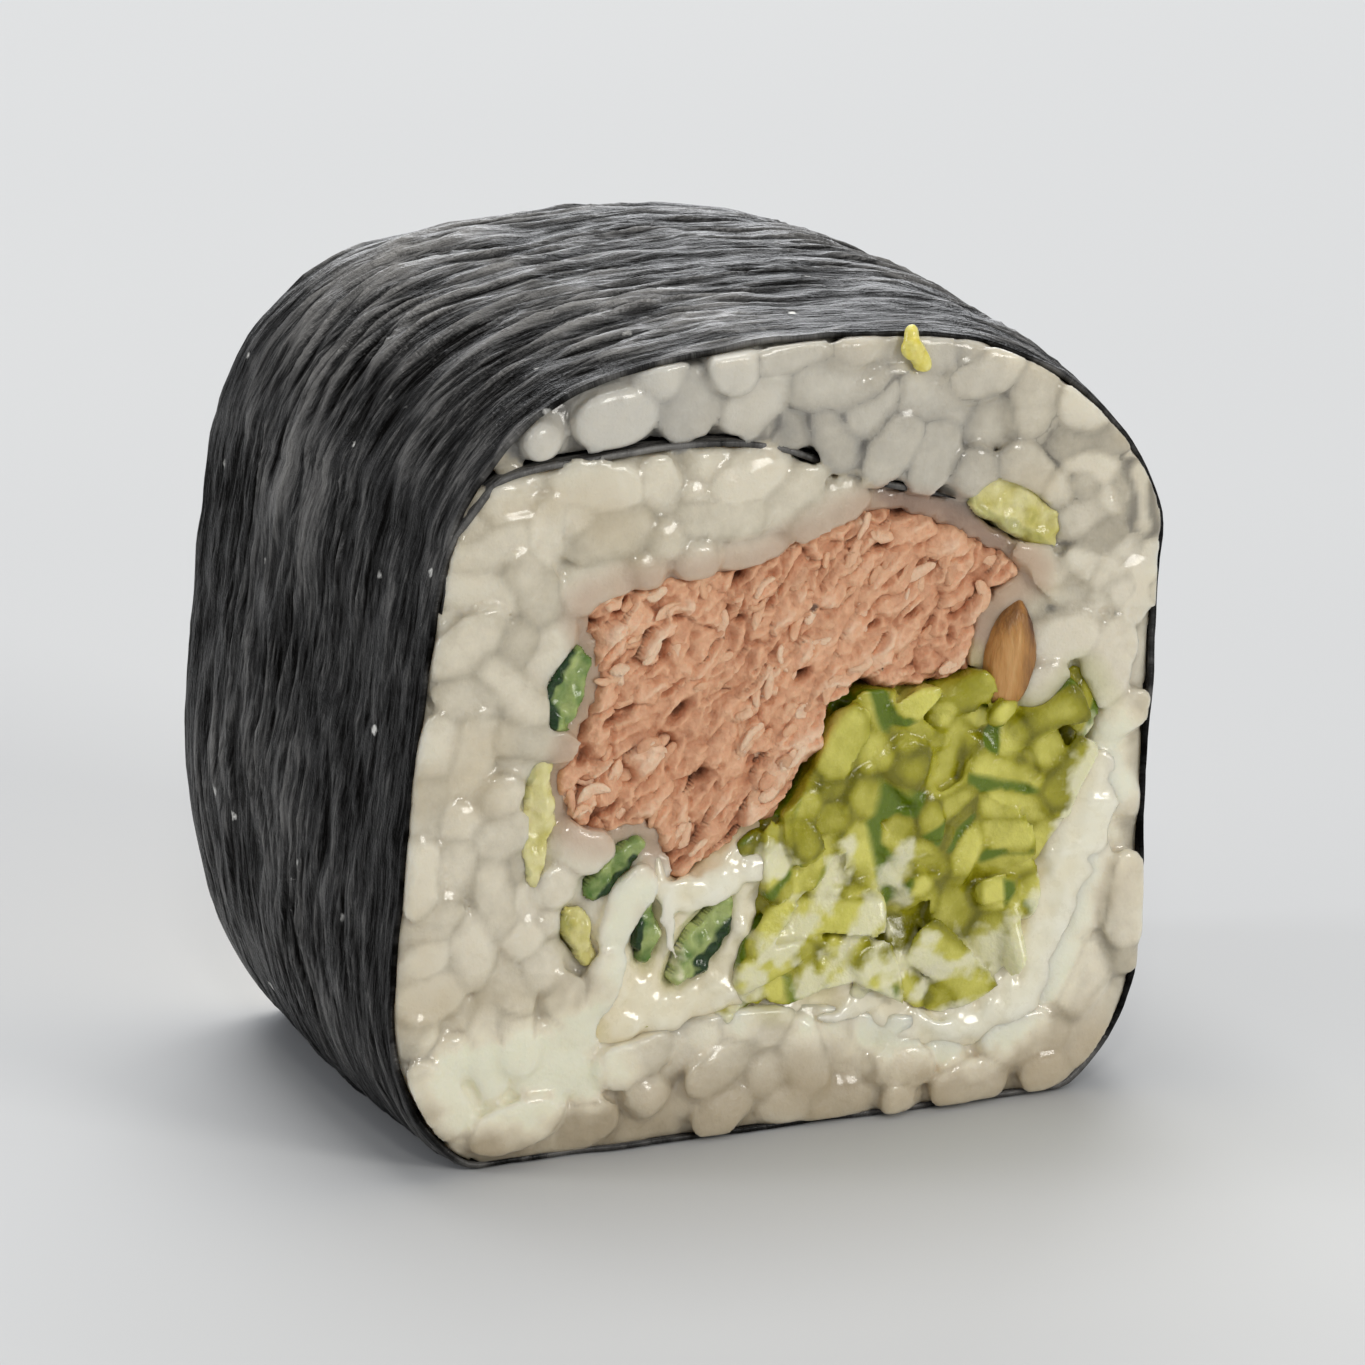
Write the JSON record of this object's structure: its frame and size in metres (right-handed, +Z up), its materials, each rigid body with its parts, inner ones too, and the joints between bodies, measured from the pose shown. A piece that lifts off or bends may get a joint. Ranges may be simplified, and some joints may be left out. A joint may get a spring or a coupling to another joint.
{
  "type": "tuna roll",
  "caption": "Cut piece of a thick nori roll with rice, flaked tuna, shredded cucumber and soft cheese, standing on its flattened underside.",
  "frame": {"origin": "middle of the underside, on the surface the piece stands on", "axes": "+Z up, +Y along the roll from the front cut face to the back one, +X to the right of the front cut face"},
  "size_m": [0.0448, 0.031, 0.0437],
  "materials": {
    "nori": "dry seaweed, near black, fibrous satin",
    "rice": "moist cooked rice, slightly see-through",
    "tuna": "flaked cooked tuna",
    "cucumber": "moist shredded cucumber",
    "cheese": "soft white cheese",
    "seed": "tan seed",
    "pale_shred": "pale moist cucumber shred",
    "peel_shred": "dark green moist cucumber peel"
  },
  "bodies": {
    "root": {"nori": "nori", "rice": "rice", "tuna": "tuna", "cucumber": "cucumber", "cream_cheese": "cheese", "seed": "seed", "strand_top": "pale_shred", "strand_left": "pale_shred", "strand_peel": "peel_shred", "strand_diagonal": "peel_shred", "strand_olive": "pale_shred", "strand_green": "peel_shred", "strand_slant": "peel_shred"}
  },
  "joints": []
}
